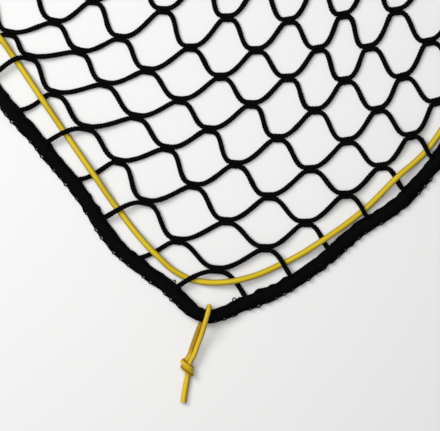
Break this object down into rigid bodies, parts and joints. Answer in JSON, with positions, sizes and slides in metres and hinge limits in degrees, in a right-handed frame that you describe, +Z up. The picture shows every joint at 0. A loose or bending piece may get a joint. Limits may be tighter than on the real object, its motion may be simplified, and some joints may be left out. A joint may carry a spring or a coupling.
{
  "type": "cargo net",
  "caption": "Rectangular cargo net of knotless netting with a knitted border, an elastic cord woven round inside it and corner tie cords, lying loose and flat.",
  "frame": {"origin": "on the surface the net lies on, at the middle of the border's box", "axes": "+Z up from the surface, +X along the net's long sides, +Y along its short sides"},
  "size_m": [0.7647, 0.6759, 0.0196],
  "materials": {
    "twine": "matt black knitted polypropylene twine, knotless",
    "border_knit": "matt black dense knitted band with small loops at its outer edge",
    "elastic": "smooth round elastic cord in a tight yellow sheath, slightly glossy",
    "tie_braid": "soft braided yellow tie cord"
  },
  "bodies": {
    "root": {"net": "twine", "border": "border_knit", "elastic_cord": "elastic", "tie_1_loop": "tie_braid", "tie_1_knot": "tie_braid", "tie_1_tail": "tie_braid", "tie_2_loop": "tie_braid", "tie_2_knot": "tie_braid", "tie_2_tail": "tie_braid", "tie_3_loop": "tie_braid", "tie_3_knot": "tie_braid", "tie_3_tail": "tie_braid", "tie_4_loop": "tie_braid", "tie_4_knot": "tie_braid", "tie_4_tail": "tie_braid"}
  },
  "joints": []
}
